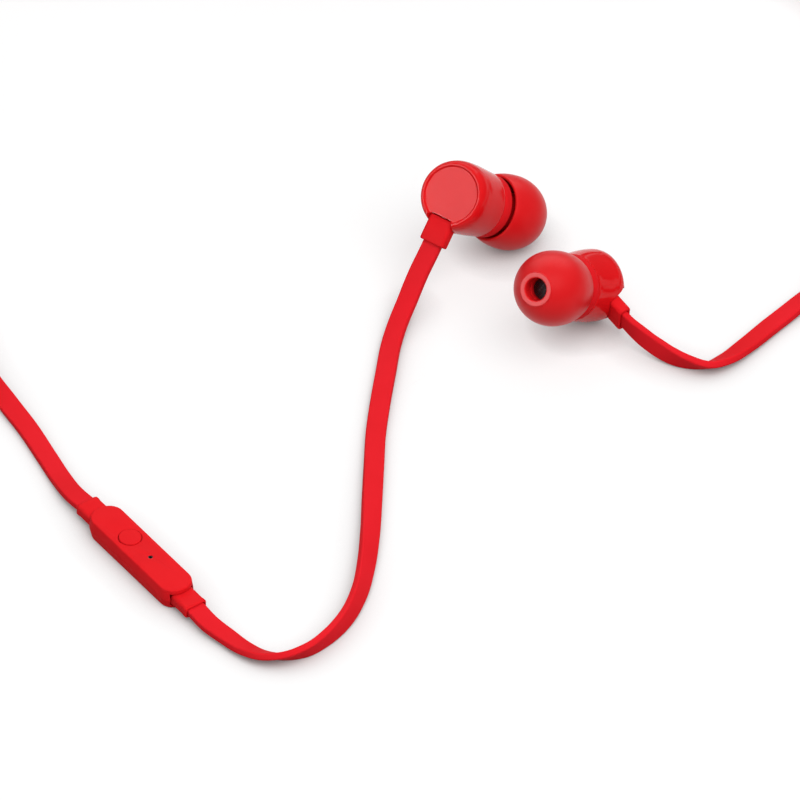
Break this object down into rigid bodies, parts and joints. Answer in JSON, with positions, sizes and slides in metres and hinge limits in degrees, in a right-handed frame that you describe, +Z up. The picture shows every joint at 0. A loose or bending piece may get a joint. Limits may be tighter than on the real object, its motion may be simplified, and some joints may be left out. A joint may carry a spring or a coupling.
{
  "type": "wired in-ear earphones",
  "caption": "Wired in-ear earphones with angled earbuds, soft ear tips, flat cables, an in-line remote with a push button, a splitter and a jack plug.",
  "frame": {"origin": "middle of the remote's flat underside, on the surface the set lies on", "axes": "+Z up from the surface, +X to the right of the picture, +Y away from the camera"},
  "size_m": [0.1506, 0.1986, 0.0202],
  "materials": {
    "gloss_red_plastic": "polished red moulding",
    "satin_red_plastic": "satin red moulding",
    "red_silicone": "matte red silicone",
    "red_cable": "matte red cable jacket",
    "steel": "plain steel",
    "nickel": "nickel plate",
    "magnet": "plated magnet",
    "copper_wire": "enamelled copper wire",
    "polymer_film": "thin polymer film",
    "circuit_board": "green solder mask",
    "black_plastic": "black moulding"
  },
  "bodies": {
    "set": {"left_rear_shell": "gloss_red_plastic", "left_front_shell": "satin_red_plastic", "left_nozzle_screen": "steel", "left_strain_relief": "satin_red_plastic", "left_driver_frame": "black_plastic", "left_yoke": "steel", "left_magnet": "magnet", "left_top_plate": "steel", "left_surround": "polymer_film", "left_terminal_board": "circuit_board", "right_rear_shell": "gloss_red_plastic", "right_front_shell": "satin_red_plastic", "right_nozzle_screen": "steel", "right_strain_relief": "satin_red_plastic", "right_driver_frame": "black_plastic", "right_yoke": "steel", "right_magnet": "magnet", "right_top_plate": "steel", "right_surround": "polymer_film", "right_terminal_board": "circuit_board", "remote_top_shell": "satin_red_plastic", "remote_bottom_shell": "satin_red_plastic", "switch_base": "black_plastic", "circuit_board": "circuit_board", "microphone": "steel", "remote_relief_upper": "satin_red_plastic", "remote_relief_lower": "satin_red_plastic", "splitter_upper_shell": "satin_red_plastic", "splitter_lower_shell": "satin_red_plastic", "plug_body": "satin_red_plastic", "plug_relief": "satin_red_plastic", "jack_core": "black_plastic", "jack_sleeve": "nickel", "jack_inner_ring": "nickel", "jack_outer_ring": "nickel", "jack_tip": "nickel", "left_cable": "red_cable", "left_lead": "red_cable", "right_lead": "red_cable", "main_hank": "red_cable", "cable_tie": "black_plastic"},
    "button": {"remote_button": "satin_red_plastic", "switch_plunger": "black_plastic"},
    "left_tip": {"left_ear_tip": "red_silicone"},
    "right_tip": {"right_ear_tip": "red_silicone"},
    "left_cone": {"left_diaphragm_dome": "polymer_film", "left_voice_coil": "copper_wire"},
    "right_cone": {"right_diaphragm_dome": "polymer_film", "right_voice_coil": "copper_wire"}
  },
  "joints": [
    {"name": "remote_button_press", "type": "slide", "parent": "set", "child": "button", "axis": [0, 0, -1], "range_m": [0, 0.00025], "stiffness_N_per_m": 400},
    {"name": "left_tip_pull", "type": "slide", "parent": "set", "child": "left_tip", "axis": [0.6618, 0.4064, -0.63], "range_m": [0, 0.007]},
    {"name": "right_tip_pull", "type": "slide", "parent": "set", "child": "right_tip", "axis": [-0.4385, -0.6871, 0.5794], "range_m": [0, 0.007]},
    {"name": "left_cone_travel", "type": "slide", "parent": "set", "child": "left_cone", "axis": [0.6618, 0.4064, -0.63], "range_m": [-0.00015, 0.00015], "stiffness_N_per_m": 500},
    {"name": "right_cone_travel", "type": "slide", "parent": "set", "child": "right_cone", "axis": [-0.4385, -0.6871, 0.5794], "range_m": [-0.00015, 0.00015], "stiffness_N_per_m": 500}
  ]
}
